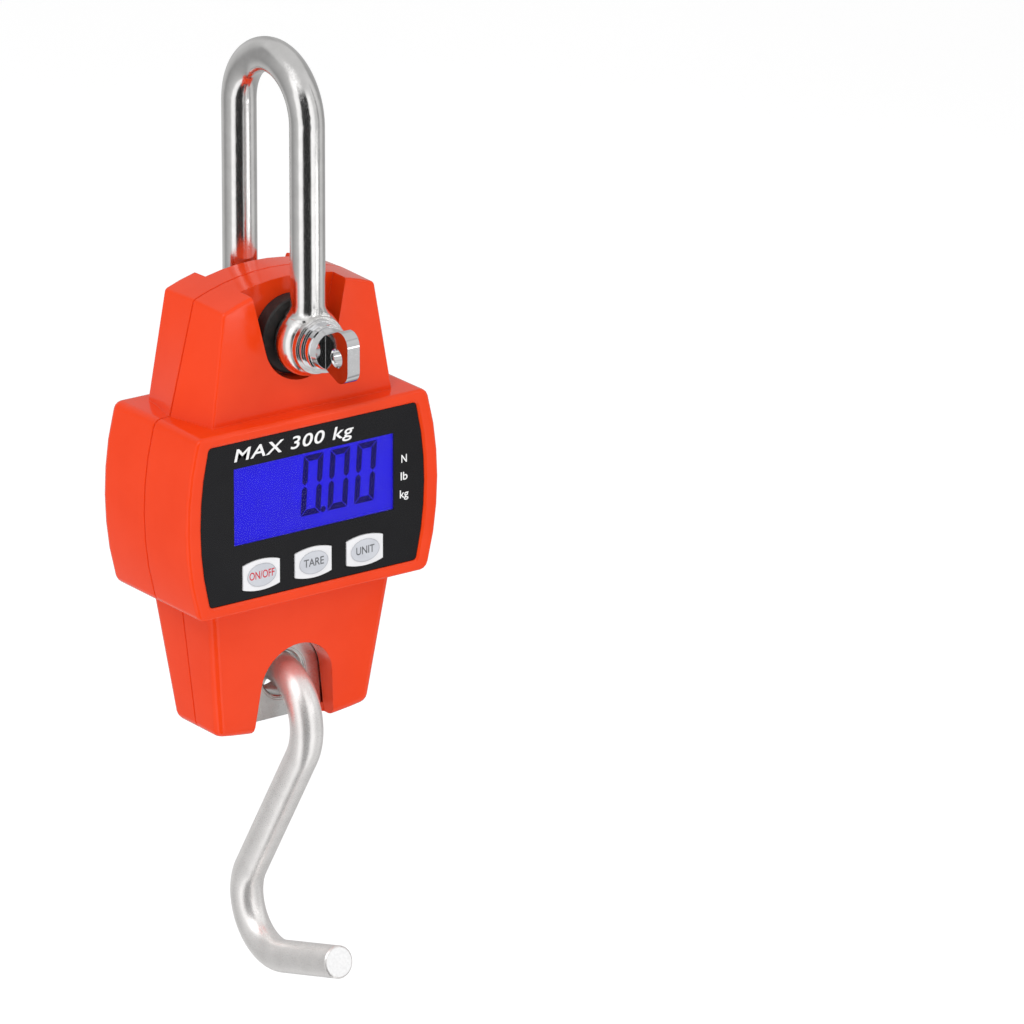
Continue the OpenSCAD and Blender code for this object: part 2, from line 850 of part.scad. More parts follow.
module battery(k) {
    translate([0, battery_y, battery_rows[k]])
        mirror([battery_ends[k] > 0 ? 0 : 1, 0, 0])
            union() {
                rod_x(cell_aaa_d / 2, -cell_aaa_l / 2, cell_aaa_l / 2 - 1);
                rod_x(1.9, cell_aaa_l / 2 - 1.5, cell_aaa_l / 2);
            }
}

module battery_1() {
    color([0.2, 0.45, 0.3])
        place()
            battery(0);
}

module battery_2() {
    color([0.2, 0.45, 0.3])
        place()
            battery(1);
}

module battery_3() {
    color([0.2, 0.45, 0.3])
        place()
            battery(2);
}

// Contact plates at both ends, with a bump for each positive end; two have tails for the wires
module battery_plates() {
    inner = bay_half_w - contact_t;
    plate_half = 4;
    tail_half = 0.5;
    tail_y = bay_floor_y - 0.7;
    color([0.8, 0.8, 0.76])
        place()
            union() {
                for (k = [0:2])
                    for (s = [0, 1])
                        mirror([s, 0, 0])
                            translate([0, battery_y, battery_rows[k]])
                                block([inner, -plate_half, -plate_half],
                                    [bay_half_w, plate_half, plate_half]);
                for (k = [0:2])
                    mirror([battery_ends[k] > 0 ? 0 : 1, 0, 0])
                        translate([0, battery_y, battery_rows[k]])
                            rod_x(1.8, cell_aaa_l / 2, inner + 0.1);
                for (s = [0, 1])
                    mirror([s, 0, 0]) {
                        block([inner, tail_y, tail_z - tail_half],
                            [bay_half_w, battery_y, tail_z + tail_half]);
                        block([tail_x - 0.8, tail_y, tail_z - tail_half],
                            [inner + 0.1, tail_y + contact_t, tail_z + tail_half]);
                    }
            }
}

// Coil springs at the negative ends, squeezed between the plate and the cell
module battery_springs() {
    plate_x = bay_half_w - contact_t;
    wire_r = 0.28;
    squeezed = plate_x - cell_aaa_l / 2 - 0.6;
    turns = 2;
    steps = 32;
    color([0.82, 0.82, 0.8])
        place()
            for (k = [0:2])
                translate([0, battery_y, battery_rows[k]])
                    mirror([battery_ends[k] > 0 ? 1 : 0, 0, 0])
                        tube([
                            for (i = [0:steps]) let (a = 360 * turns * i / steps, r = 3.6 - 1.6 * i / steps)
                                [plate_x - 0.3 - squeezed * i / steps, r * cos(a), r * sin(a)]],
                            wire_r, 8);
}

// Flat cover with two hinge pins at its upper edge and three grip grooves near the lower one
module battery_cover() {
    grip_half_w = 7;
    grip_depth = 0.4;
    grip_groove = 0.7;
    grip_pitch = 1.6;
    grip_z = 3;
    color([0.91, 0.27, 0.16])
        place()
            difference() {
                union() {
                    block([-cover_half_w, half_d - cover_t, -cover_half_h],
                        [cover_half_w, half_d, cover_pivot_z]);
                    translate([0, cover_pivot_y, cover_pivot_z]) {
                        rod_x(cover_t / 2 - 0.01, -cover_half_w, cover_half_w);
                        rod_x(hinge_r, -bay_half_w - hinge_reach, bay_half_w + hinge_reach);
                    }
                }
                for (k = [0:2])
                    translate([0, half_d, -cover_half_h + grip_z + k * grip_pitch])
                        block([-grip_half_w, -grip_depth, 0], [grip_half_w, over, grip_groove]);
            }
}

module cover_foam() {
    color([0.25, 0.25, 0.25])
        place()
            block([-18, half_d - cover_t - foam_t, -13], [18, half_d - cover_t, 12]);
}

// The tapered neck, the eye and their bore, at one end of the bow: the leg stands at the origin
module shackle_eye(bore_r) {
    across = bar_r + eye_fillet;
    rise = sqrt((eye_r + eye_fillet) * (eye_r + eye_fillet) - across * across);
    lean = atan2(rise, across);
    neck = [
        for (k = [0:10]) let (a = 180 + lean * k / 10)
            [across + eye_fillet * cos(a), rise + eye_fillet * sin(a)]];
    root = neck[10];
    difference() {
        union() {
            intersection() {
                rotate_extrude()
                    polygon(concat([[0, rise + 2], [bar_r - 0.02, rise + 2]], neck,
                        [[root[0], root[1] - 2], [0, root[1] - 2]]));
                block([-eye_r, -bar_r + 0.05, 0], [eye_r, bar_r - 0.05, 30]);
            }
            rotate([90, 0, 0])
                rotate_extrude()
                    intersection() {
                        translate([3.6, 0])
                            circle(r = 4.9);
                        translate([0, -bar_r])
                            square([10, shackle_bar]);
                    }
            rod_y(3.7, -bar_r, bar_r);
            cylinder(r = bar_r, h = bow_z - pin_z);
        }
        rod_y(bore_r, -bar_r - over, bar_r + over);
    }
}

module shackle_bow() {
    color([0.8, 0.8, 0.82])
        place()
            difference() {
                union() {
                    translate([0, -shackle_lead, bow_z])
                        rotate([90, 0, 90])
                            rotate_extrude(angle = 180)
                                translate([bow_r_mid, 0])
                                    circle(r = bar_r);
                    translate([0, front_eye_y, pin_z])
                        shackle_eye(pin_r + free_gap);
                    translate([0, back_eye_y, pin_z])
                        shackle_eye(pin_r + close_gap);
                    translate([0, 0, pin_z])
                        rod_y(ring_r, ring_y, front_eye_y - bar_r + 2 * ring_rise);
                }
                translate([0, 0, pin_z])
                    rod_y(pin_r + free_gap, ring_y - over, front_eye_y);
            }
}

module pin_washer() {
    color([0.8, 0.8, 0.82])
        place()
            translate([0, 0, pin_z])
                ring_y_axis(washer_r, pin_r + 0.1, washer_y, washer_y + washer_t);
}

// Outline of the thumb tab in its own plane: length forward, height
function tab_points() = rounded(
    [[-tab_sunk, -tab_root_half], [tab_sunk, -tab_root_half - 0.4], [tab_waist, -tab_half_h],
        [tab_len, -tab_half_h], [tab_len, tab_half_h], [tab_waist, tab_half_h],
        [tab_sunk, tab_root_half + 0.4], [-tab_sunk, tab_root_half]],
    [0, 0.5, 1.5, tab_corner_r, tab_corner_r, 1.5, 0.5, 0], 8);

// The cross pin: grooved thread at the back, shank, collar, cone and a thumb tab with a wire hole
module shackle_pin() {
    thread_end = back_eye_y + bar_r + 1.4;
    thread_len = 10.5;
    thread_depth = 0.55;
    point = 1; // length of the pin's tapered point
    flare = 2 * tab_hole_flare;
    turns = floor((thread_len - point) / thread_pitch);
    color([0.82, 0.82, 0.84])
        place()
            translate([0, 0, pin_z])
                difference() {
                    union() {
                        rod_y(pin_r, collar_y + over / 2, thread_end - point);
                        translate([0, thread_end - point, 0])
                            rotate([-90, 0, 0])
                                cylinder(r1 = pin_r, r2 = pin_r - 0.9 * point, h = point);
                        rod_y(collar_r, collar_y, collar_y + collar_t);
                        translate([0, collar_y, 0])
                            rotate([90, 0, 0])
                                cylinder(r1 = collar_r - 0.6, r2 = collar_r - 1.2, h = cone_t);
                        translate([tab_t / 2, tab_root_y, 0])
                            rotate([0, -90, 0])
                                linear_extrude(tab_t)
                                    polygon([for (p = tab_points()) [p[1], -p[0]]]);
                    }
                    for (k = [0:turns - 1])
                        translate([0, thread_end - point - 0.6 - k * thread_pitch, 0])
                            ring_y_axis(pin_r + over, pin_r - thread_depth, -0.35, 0.35);
                    translate([0, tab_root_y - tab_hole_ahead, -tab_hole_drop]) {
                        rod_x(tab_hole_r, -tab_t, tab_t);
                        for (turn = [-90, 90])
                            rotate([0, turn, 0])
                                translate([0, 0, tab_t / 2 - tab_hole_flare])
                                    cylinder(r1 = tab_hole_r, r2 = tab_hole_r + flare, h = flare);
                    }
                }
}

// Route of a bar bent in the plane X = 0, from a place and a heading: ["line", length] runs
// straight and ["arc", radius, turn] bends, positive turns being anticlockwise with Y to the right
function bent_route(steps, p, heading, i = 0) = i == len(steps) ? [[0, p[0], p[1]]]
    : steps[i][0] == "line" ? concat([[0, p[0], p[1]]],
        bent_route(steps, p + steps[i][1] * [cos(heading), sin(heading)], heading, i + 1))
    : let (
        side = sign(steps[i][2]) * steps[i][1],
        mid = p + side * [-sin(heading), cos(heading)],
        n = ceil(abs(steps[i][2]) / 7.5),
        at = function (t) mid + side * [sin(heading + t), -cos(heading + t)]
    ) concat([for (k = [0:n - 1]) let (q = at(steps[i][2] * k / n)) [0, q[0], q[1]]],
        bent_route(steps, at(steps[i][2]), heading + steps[i][2], i + 1));

module hook() {
    tail = 4;
    start = [hook_top_r - 1.6, -hook_z - 11.6 - tail];
    steps = [["line", tail], ["arc", hook_top_r, 180], ["arc", 14, 31.8], ["line", 41.7],
        ["arc", hook_low_r, -136.8], ["line", hook_tip]];
    color([0.72, 0.72, 0.72])
        place()
            tube(bent_route(steps, start, 90), hook_bar / 2, 28);
}

shackle_bow();
shackle_pin();
pin_washer();
front_shell();
rear_shell();
case_screws();
load_cell();
upper_bush();
lower_bush();
strain_gauges();
front_grommet();
rear_grommet();
main_board();
board_screws();
controller_chip();
adc_chip();
crystal();
buzzer();
capacitor();
tact_switches();
lcd_panel();
lcd_backlight();
lcd_connectors();
lcd_frame();
display_window();
fascia_overlay();
key_on_off();
key_tare();
key_unit();
cell_cable();
battery_wire_red();
battery_wire_black();
battery_springs();
battery_plates();
battery_1();
battery_2();
battery_3();
battery_cover();
cover_foam();
hook();
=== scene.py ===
import json
import math

import bmesh
import bpy
from mathutils import Matrix, Vector


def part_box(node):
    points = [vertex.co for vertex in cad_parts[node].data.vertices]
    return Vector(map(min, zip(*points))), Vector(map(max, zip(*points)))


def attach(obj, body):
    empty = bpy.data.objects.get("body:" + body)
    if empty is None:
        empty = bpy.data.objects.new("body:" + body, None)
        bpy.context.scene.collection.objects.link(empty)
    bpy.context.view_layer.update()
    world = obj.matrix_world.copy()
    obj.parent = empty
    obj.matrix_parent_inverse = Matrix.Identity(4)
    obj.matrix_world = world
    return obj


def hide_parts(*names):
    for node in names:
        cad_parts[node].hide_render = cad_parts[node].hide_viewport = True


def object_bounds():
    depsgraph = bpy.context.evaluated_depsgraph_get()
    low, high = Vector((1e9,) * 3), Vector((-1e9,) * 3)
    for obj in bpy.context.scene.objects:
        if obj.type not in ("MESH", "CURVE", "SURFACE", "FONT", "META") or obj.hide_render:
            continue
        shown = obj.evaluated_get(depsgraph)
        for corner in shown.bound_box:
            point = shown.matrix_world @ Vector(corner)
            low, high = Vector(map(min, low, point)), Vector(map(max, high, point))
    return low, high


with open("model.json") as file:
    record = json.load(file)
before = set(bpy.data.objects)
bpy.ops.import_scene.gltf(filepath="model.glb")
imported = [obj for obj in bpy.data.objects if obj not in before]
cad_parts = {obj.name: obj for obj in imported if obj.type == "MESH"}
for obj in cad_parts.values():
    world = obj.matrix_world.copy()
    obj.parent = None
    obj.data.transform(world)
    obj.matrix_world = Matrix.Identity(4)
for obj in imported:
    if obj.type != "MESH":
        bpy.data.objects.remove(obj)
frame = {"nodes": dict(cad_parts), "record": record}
cad_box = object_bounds()
nodes = frame["nodes"]

MM = 0.001
RIGHT = Vector((1, 0, 0))
KEYS = ("key_on_off", "key_tare", "key_unit")

# Middle of the display block on the parting line
fascia_low, fascia_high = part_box("fascia_overlay")
middle = Vector((0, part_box("front_shell")[1].y, (fascia_low.z + fascia_high.z) / 2))
face_y = fascia_low.y
window_low, window_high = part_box("display_window")


# ---------------------------------------------------------------- materials

def noise(tree, scale, stretch=(1, 1, 1), detail=3.0, rough=0.55):
    """A noise value over the object, with `scale` features to the metre."""
    place = tree.nodes.new("ShaderNodeTexCoord")
    shape = tree.nodes.new("ShaderNodeMapping")
    shape.inputs["Scale"].default_value = stretch
    cloud = tree.nodes.new("ShaderNodeTexNoise")
    cloud.inputs["Scale"].default_value = scale
    cloud.inputs["Detail"].default_value = detail
    cloud.inputs["Roughness"].default_value = rough
    tree.links.new(place.outputs["Object"], shape.inputs["Vector"])
    tree.links.new(shape.outputs["Vector"], cloud.inputs["Vector"])
    return cloud.outputs["Fac"]


def spread(tree, value, low, high, start=0.35, end=0.65):
    """Maps a noise value to the range from low to high."""
    ramp = tree.nodes.new("ShaderNodeMapRange")
    ramp.inputs["From Min"].default_value = start
    ramp.inputs["From Max"].default_value = end
    ramp.inputs["To Min"].default_value = low
    ramp.inputs["To Max"].default_value = high
    tree.links.new(value, ramp.inputs["Value"])
    return ramp.outputs["Result"]


def blend_colours(tree, value, first, second):
    """A colour between two, by a value from 0 to 1."""
    mix = tree.nodes.new("ShaderNodeMix")
    mix.data_type = "RGBA"
    mix.inputs["A"].default_value = (*first, 1)
    mix.inputs["B"].default_value = (*second, 1)
    tree.links.new(value, mix.inputs["Factor"])
    return mix.outputs["Result"]


def bumps(tree, value, depth, round_edges=0.0, strength=1.0):
    """A normal with `value` as height in metres times depth, over edges rounded by a radius."""
    bump = tree.nodes.new("ShaderNodeBump")
    bump.inputs["Distance"].default_value = depth
    bump.inputs["Strength"].default_value = strength
    tree.links.new(value, bump.inputs["Height"])
    if round_edges:
        edge = tree.nodes.new("ShaderNodeBevel")
        edge.samples = 6
        edge.inputs["Radius"].default_value = round_edges
        tree.links.new(edge.outputs["Normal"], bump.inputs["Normal"])
    return bump.outputs["Normal"]


def material(name, colour, shade, rough, metallic=0.0, tone=300, grain=4000, stretch=(1, 1, 1),
             depth=0.00001, edges=0.0, **constants):
    """A finish whose colour drifts from colour to shade and whose roughness spans rough."""
    made = bpy.data.materials.new(name)
    made.use_nodes = True
    tree = made.node_tree
    surface = tree.nodes["Principled BSDF"]
    cloud = noise(tree, tone)
    fine = noise(tree, grain, stretch, detail=4)
    tint = blend_colours(tree, spread(tree, cloud, 0, 1), colour, shade)
    tree.links.new(tint, surface.inputs["Base Color"])
    tree.links.new(spread(tree, fine, *rough), surface.inputs["Roughness"])
    tree.links.new(bumps(tree, fine, depth, edges), surface.inputs["Normal"])
    surface.inputs["Metallic"].default_value = metallic
    for socket, value in constants.items():
        surface.inputs[socket.replace("_", " ")].default_value = value
    return made


def lcd_material():
    """The lit display: blue from the strip of lamps behind it, varying a little at random."""
    made = material("lcd_glass", (0.006, 0.004, 0.2), (0.008, 0.006, 0.24), (0.3, 0.4), depth=0,
                    Specular_IOR_Level=0.05)
    tree = made.node_tree
    surface = tree.nodes["Principled BSDF"]
    cloud = spread(tree, noise(tree, 40), 0, 1)
    glow = blend_colours(tree, cloud, (0.022, 0.015, 0.70), (0.029, 0.021, 0.62))
    tree.links.new(glow, surface.inputs["Emission Color"])
    surface.inputs["Emission Strength"].default_value = 0.8
    return made


def board_material():
    """Green solder mask with the tracks showing through as paler lines."""
    made = material("board_green", (0.01, 0.12, 0.045), (0.012, 0.15, 0.055), (0.25, 0.4), edges=0)
    tree = made.node_tree
    surface = tree.nodes["Principled BSDF"]
    place = tree.nodes.new("ShaderNodeTexCoord")
    tracks = tree.nodes.new("ShaderNodeTexBrick")
    tracks.inputs["Scale"].default_value = 260
    tracks.inputs["Mortar Size"].default_value = 0.03
    tracks.inputs["Color1"].default_value = (0.008, 0.11, 0.04, 1)
    tracks.inputs["Color2"].default_value = (0.01, 0.13, 0.05, 1)
    tracks.inputs["Mortar"].default_value = (0.05, 0.3, 0.12, 1)
    turn = tree.nodes.new("ShaderNodeMapping")
    turn.inputs["Rotation"].default_value = (math.pi / 2, 0, 0)
    tree.links.new(place.outputs["Object"], turn.inputs["Vector"])
    tree.links.new(turn.outputs["Vector"], tracks.inputs["Vector"])
    tree.links.new(tracks.outputs["Color"], surface.inputs["Base Color"])
    return made


finishes = {
    "steel_bent": material(
        "steel_bent", (0.80, 0.79, 0.78), (0.88, 0.87, 0.86), (0.13, 0.21), 1.0, tone=180,
        grain=2500, stretch=(1, 1, 0.3), depth=0.000004, edges=0.0002),
    "steel_cut": material(
        "steel_cut", (0.88, 0.88, 0.88), (0.96, 0.96, 0.96), (0.35, 0.5), 0.25, tone=1500,
        grain=7000, stretch=(1, 6, 1), depth=0.00001),
    "shell_plastic": material(
        "shell_plastic", (0.82, 0.048, 0.005), (0.85, 0.054, 0.008), (0.11, 0.17), tone=60,
        grain=1200, depth=0.0000015, edges=0.0002, Specular_IOR_Level=0.33),
    "steel_polished": material(
        "steel_polished", (0.80, 0.80, 0.81), (0.86, 0.86, 0.87), (0.05, 0.11), 1.0, tone=150,
        grain=1500, stretch=(1, 1, 0.15), depth=0.000002, edges=0.0002),
    # painted shade: a darker steel for the flat sides of the pin's tab, standing in for the darker
    # reflection they show
    "steel_plate_painted_shade": material(
        "steel_plate_painted_shade", (0.40, 0.40, 0.40), (0.46, 0.46, 0.46), (0.07, 0.13), 1.0, tone=250,
        grain=2500, depth=0.000003),
    "hook_steel": material(
        "hook_steel", (0.88, 0.86, 0.845), (0.95, 0.93, 0.915), (0.25, 0.38), 0.74, tone=220,
        grain=6500, depth=0.000012, edges=0.0003),
    "cell_steel": material(
        "cell_steel", (0.67, 0.67, 0.66), (0.75, 0.75, 0.74), (0.24, 0.36), 1.0, tone=200,
        grain=3000, stretch=(8, 1, 0.6), depth=0.000004, edges=0.0003),
    "bush_steel": material(
        "bush_steel", (0.62, 0.62, 0.61), (0.72, 0.72, 0.70), (0.14, 0.24), 1.0, tone=400,
        grain=5000, depth=0.000003, edges=0.0002),
    "screw_steel": material(
        "screw_steel", (0.42, 0.42, 0.41), (0.55, 0.55, 0.53), (0.25, 0.4), 1.0, tone=900,
        grain=8000, depth=0.000004, edges=0.0001),
    "contact_metal": material(
        "contact_metal", (0.62, 0.61, 0.57), (0.72, 0.71, 0.67), (0.18, 0.3), 1.0, tone=500,
        grain=5000, depth=0.000004),
    "can_silver": material(
        "can_silver", (0.60, 0.60, 0.60), (0.70, 0.70, 0.70), (0.2, 0.35), 1.0, tone=700,
        grain=6000, depth=0.000004),
    "gauge_foil": material(
        "gauge_foil", (0.55, 0.24, 0.07), (0.66, 0.32, 0.12), (0.3, 0.45), tone=1800,
        grain=3000, stretch=(1, 1, 6), depth=0.000006),
    "rubber_black": material(
        "rubber_black", (0.012, 0.012, 0.012), (0.022, 0.021, 0.020), (0.5, 0.68), tone=500,
        grain=5000, depth=0.00002, edges=0.00015),
    "foam": material(
        "foam", (0.02, 0.02, 0.021), (0.05, 0.05, 0.05), (0.85, 0.98), tone=3000,
        grain=5000, depth=0.0002),
    "board_green": board_material(),
    "chip_black": material(
        "chip_black", (0.012, 0.012, 0.013), (0.02, 0.02, 0.021), (0.45, 0.6), tone=1500,
        grain=9000, depth=0.00001),
    "capacitor_blue": material(
        "capacitor_blue", (0.015, 0.025, 0.12), (0.02, 0.035, 0.17), (0.25, 0.35), tone=800,
        grain=5000, depth=0.000004),
    "lcd_glass": lcd_material(),
    "backlight_white": material(
        "backlight_white", (0.72, 0.76, 0.86), (0.80, 0.84, 0.92), (0.4, 0.5), tone=100,
        grain=2500, depth=0.000005),
    "connector_rubber": material(
        "connector_rubber", (0.50, 0.13, 0.22), (0.10, 0.10, 0.10), (0.5, 0.65), tone=2200,
        grain=5000, depth=0.00001),
    "window_clear": material(
        "window_clear", (0.95, 0.96, 1.0), (0.97, 0.98, 1.0), (0.03, 0.06), tone=80,
        grain=2000, depth=0.0000005, Transmission_Weight=1.0, IOR=1.12, Specular_IOR_Level=0.3),
    "fascia_black": material(
        "fascia_black", (0.006, 0.006, 0.0075), (0.008, 0.008, 0.0095), (0.22, 0.3), tone=90,
        grain=5500, depth=0.000004, edges=0.00012, Specular_IOR_Level=0.25),
    "key_white": material(
        "key_white", (0.78, 0.78, 0.80), (0.83, 0.83, 0.85), (0.3, 0.38), tone=200,
        grain=4000, depth=0.000003, edges=0.00025),
    "cable_grey": material(
        "cable_grey", (0.60, 0.60, 0.60), (0.68, 0.68, 0.68), (0.45, 0.55), tone=900,
        grain=4000, depth=0.00001),
    "wire_red": material(
        "wire_red", (0.50, 0.012, 0.012), (0.60, 0.02, 0.02), (0.35, 0.45), tone=900,
        grain=4000, depth=0.00001),
    "wire_black": material(
        "wire_black", (0.012, 0.012, 0.012), (0.02, 0.02, 0.02), (0.35, 0.45), tone=900,
        grain=4000, depth=0.00001),
    "battery_jacket": material(
        "battery_jacket", (0.02, 0.14, 0.055), (0.03, 0.17, 0.07), (0.22, 0.3), tone=300,
        grain=3500, depth=0.000005),
}

key_pad = material("key_pad", (0.55, 0.565, 0.61), (0.60, 0.615, 0.66), (0.28, 0.34), tone=300,
                   grain=4000, depth=0.000003)
key_ring = material("key_ring", (0.42, 0.43, 0.47), (0.47, 0.48, 0.52), (0.34, 0.42), tone=300,
                    grain=4000, depth=0.000003)
ink_white = material("ink_white", (0.84, 0.84, 0.84), (0.90, 0.90, 0.90), (0.45, 0.55), tone=900,
                     grain=7000, depth=0.000003)
ink_red = material("ink_red", (0.55, 0.012, 0.03), (0.62, 0.02, 0.04), (0.4, 0.5), tone=900,
                   grain=7000, depth=0.000003)
ink_grey = material("ink_grey", (0.10, 0.105, 0.115), (0.14, 0.145, 0.155), (0.4, 0.5), tone=900,
                    grain=7000, depth=0.000003)
segment_ink = material("segment_ink", (0.002, 0.002, 0.03), (0.003, 0.002, 0.045), (0.3, 0.4),
                       tone=400, grain=4000, depth=0.000001, Specular_IOR_Level=0.05,
                       Emission_Color=(0.008, 0.004, 0.11, 1), Emission_Strength=0.8)


# ---------------------------------------------------------------- pieces

CIRCLE_SIDES = 64  # of the small printed and cut discs


def circle_angles():
    """Angles of the corners of a disc."""
    return [2 * math.pi * k / CIRCLE_SIDES for k in range(CIRCLE_SIDES)]


def body_of_node(node):
    """The CAD body that a node belongs to."""
    return next(b for b, members in frame["record"]["behaviour"]["bodies"].items() if node in members)


def add_piece(name, mesh, body, finish, stands_for=()):
    """Puts a mesh in the scene as a piece of the object."""
    piece = bpy.data.objects.new(name, mesh)
    bpy.context.scene.collection.objects.link(piece)
    mesh.materials.clear()
    mesh.materials.append(finish)
    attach(piece, body)
    if stands_for:
        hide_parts(*stands_for)
    return piece


def smooth_by_angle(piece, degrees):
    """Smooth shading that stays sharp over the given angle and flat on flat faces."""
    piece.data.shade_smooth()
    piece.data.set_sharp_from_angle(angle=math.radians(degrees))
    even = piece.modifiers.new("even_normals", "WEIGHTED_NORMAL")
    even.keep_sharp = True


def refine(node, slot, degrees=33, finish=None):
    """A copy of a CAD node with its corners joined up, so that it can be shaded smoothly."""
    work = bmesh.new()
    work.from_mesh(nodes[node].data)
    bmesh.ops.remove_doubles(work, verts=work.verts, dist=0.000001)
    work.verts.index_update()
    mesh = bpy.data.meshes.new(node + "_skin")
    mesh.from_pydata([v.co.copy() for v in work.verts], [],
                     [[v.index for v in f.verts] for f in work.faces])
    work.free()
    piece = add_piece(node + "_skin", mesh, body_of_node(node), finishes[finish or slot],
                      [node])
    smooth_by_angle(piece, degrees)
    return piece


def coat(node, slot):
    """Gives a CAD node that stays as it is its finish."""
    mesh = nodes[node].data
    mesh.materials.clear()
    mesh.materials.append(finishes[slot])


def ring_faces(bands, sides):
    """The four-sided faces between each ring of points and the next."""
    return [[i * sides + k, i * sides + (k + 1) % sides,
             (i + 1) * sides + (k + 1) % sides, (i + 1) * sides + k]
            for i in range(bands) for k in range(sides)]


def tube_mesh(name, route, radii, sides):
    """A round bar in the plane X = 0: a ring at each point of the route, closed at both ends."""
    last = len(route) - 1
    points = []
    for i, (spot, r) in enumerate(zip(route, radii)):
        ahead = (route[min(i + 1, last)] - route[max(i - 1, 0)]).normalized()
        up = ahead.cross(RIGHT)
        for k in range(sides):
            a = 2 * math.pi * k / sides
            points.append(spot + r * (math.cos(a) * RIGHT + math.sin(a) * up))
    faces = ring_faces(last, sides)
    faces.append(list(reversed(range(sides))))
    faces.append([last * sides + k for k in range(sides)])
    mesh = bpy.data.meshes.new(name)
    mesh.from_pydata(points, [], faces)
    mesh.validate()
    return mesh


def bent_route(steps, start, heading):
    """Points along a bar bent in the plane X = 0: steps are (length, turn in degrees)."""
    finest_turn = 2.5
    spot, route = start, [start]
    for length, turn in steps:
        pieces = max(2, math.ceil(abs(turn) / finest_turn))
        for _ in range(pieces):
            half = math.radians(turn) / pieces / 2
            chord = length / pieces * (math.sin(half) / half if turn else 1)
            heading += half
            spot = spot + chord * Vector((0, math.cos(heading), math.sin(heading)))
            heading += half
            route.append(spot)
    return route


# ---------------------------------------------------------------- metal parts

def paint_tab_shade(skin):
    """The flat sides of the pin's tab get a darker steel than its polished rim: painted shade, for
    the darker reflection these faces show.
    """
    tab_reach = 2.2 * MM
    mesh = skin.data
    mesh.materials.append(finishes["steel_plate_painted_shade"])
    for face in mesh.polygons:
        sideways = abs(face.normal.x) > 0.95
        if sideways and all(abs(mesh.vertices[i].co.x) < tab_reach for i in face.vertices):
            # painted shade: these faces take the darker steel
            face.material_index = 1


refine("shackle_bow", "steel_polished", finish="steel_bent")
paint_tab_shade(refine("shackle_pin", "steel_polished"))
refine("pin_washer", "steel_polished")
refine("load_cell", "cell_steel", 25)
refine("upper_bush", "bush_steel")
refine("lower_bush", "bush_steel")
refine("case_screws", "screw_steel")


def build_hook():
    """The hook's bar, with its two cut ends chamfered."""
    def arc(radius, turn):
        return radius * math.radians(abs(turn)), turn

    bar_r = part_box("hook")[1].x
    top_r, bend_r, low_r = 13 * MM, 14 * MM, 12.7 * MM
    tail, shank, tip = 4 * MM, 41.7 * MM, 24.1 * MM
    start = middle + Vector((0, top_r - 1.6 * MM, -58.2 * MM - tail))
    steps = [(tail, 0), arc(top_r, 180), arc(bend_r, 31.8), (shank, 0), arc(low_r, -136.8), (tip, 0)]
    route = bent_route(steps, start, math.pi / 2)
    radii = [bar_r] * len(route)
    chamfer = 0.35 * MM
    for end, inner in ((0, 1), (-1, -2)):
        into = (route[inner] - route[end]).normalized() * chamfer
        where = 1 if end == 0 else len(route) - 1
        route.insert(where, route[end] + into)
        radii.insert(where, bar_r)
        radii[end] = bar_r - chamfer
    piece = add_piece("hook_bar", tube_mesh("hook_bar", route, radii, 72), "hook",
                      finishes["hook_steel"], ["hook"])
    smooth_by_angle(piece, 30)
    add_cut_face(route[-1], (route[-1] - route[-2]).normalized(), bar_r - 1.4 * chamfer)


def add_cut_face(spot, out, face_r):
    """The bright saw-cut face of the hook's tip."""
    thickness = 0.004 * MM
    up = out.cross(RIGHT)
    ring = [spot + face_r * (math.cos(a) * RIGHT + math.sin(a) * up) for a in circle_angles()]
    under = list(reversed(range(CIRCLE_SIDES)))
    over = list(range(CIRCLE_SIDES, 2 * CIRCLE_SIDES))
    mesh = bpy.data.meshes.new("hook_cut_face")
    mesh.from_pydata(ring + [p + thickness * out for p in ring], [],
                     [under, over] + ring_faces(1, CIRCLE_SIDES))
    add_piece("hook_cut_face", mesh, "hook", finishes["steel_cut"])


build_hook()

# ---------------------------------------------------------------- housing

refine("front_shell", "shell_plastic", 34)
refine("rear_shell", "shell_plastic", 34)
refine("battery_cover", "shell_plastic")
refine("front_grommet", "rubber_black")
refine("rear_grommet", "rubber_black")
refine("fascia_overlay", "fascia_black")
refine("display_window", "window_clear")
refine("lcd_panel", "lcd_glass")
for name in KEYS:
    refine(name, "key_white")

for name, slot in {
        "strain_gauges": "gauge_foil", "main_board": "board_green", "board_screws": "screw_steel",
        "controller_chip": "chip_black", "adc_chip": "chip_black", "crystal": "can_silver",
        "buzzer": "chip_black", "capacitor": "capacitor_blue", "tact_switches": "chip_black",
        "lcd_backlight": "backlight_white", "lcd_connectors": "connector_rubber",
        "lcd_frame": "backlight_white", "cell_cable": "cable_grey", "battery_wire_red": "wire_red",
        "battery_wire_black": "wire_black", "battery_springs": "contact_metal",
        "battery_plates": "contact_metal", "battery_1": "battery_jacket",
        "battery_2": "battery_jacket", "battery_3": "battery_jacket", "cover_foam": "foam"}.items():
    coat(name, slot)


# ---------------------------------------------------------------- markings

def plate_mesh(name, outlines, y, thickness):
    """Flat plates facing forward: outlines in X and Z, pushed back from the depth y."""
    work = bmesh.new()
    for outline in outlines:
        front = [work.verts.new((x, y, z)) for x, z in outline]
        back = [work.verts.new((x, y + thickness, z)) for x, z in outline]
        count = len(outline)
        work.faces.new(front)
        work.faces.new(back[::-1])
        for i in range(count):
            j = (i + 1) % count
            work.faces.new((front[j], front[i], back[i], back[j]))
    bmesh.ops.recalc_face_normals(work, faces=work.faces)
    mesh = bpy.data.meshes.new(name)
    work.to_mesh(mesh)
    work.free()
    return mesh


CAP_SHARE = 0.69  # height of a capital in the built-in font, of the font's size


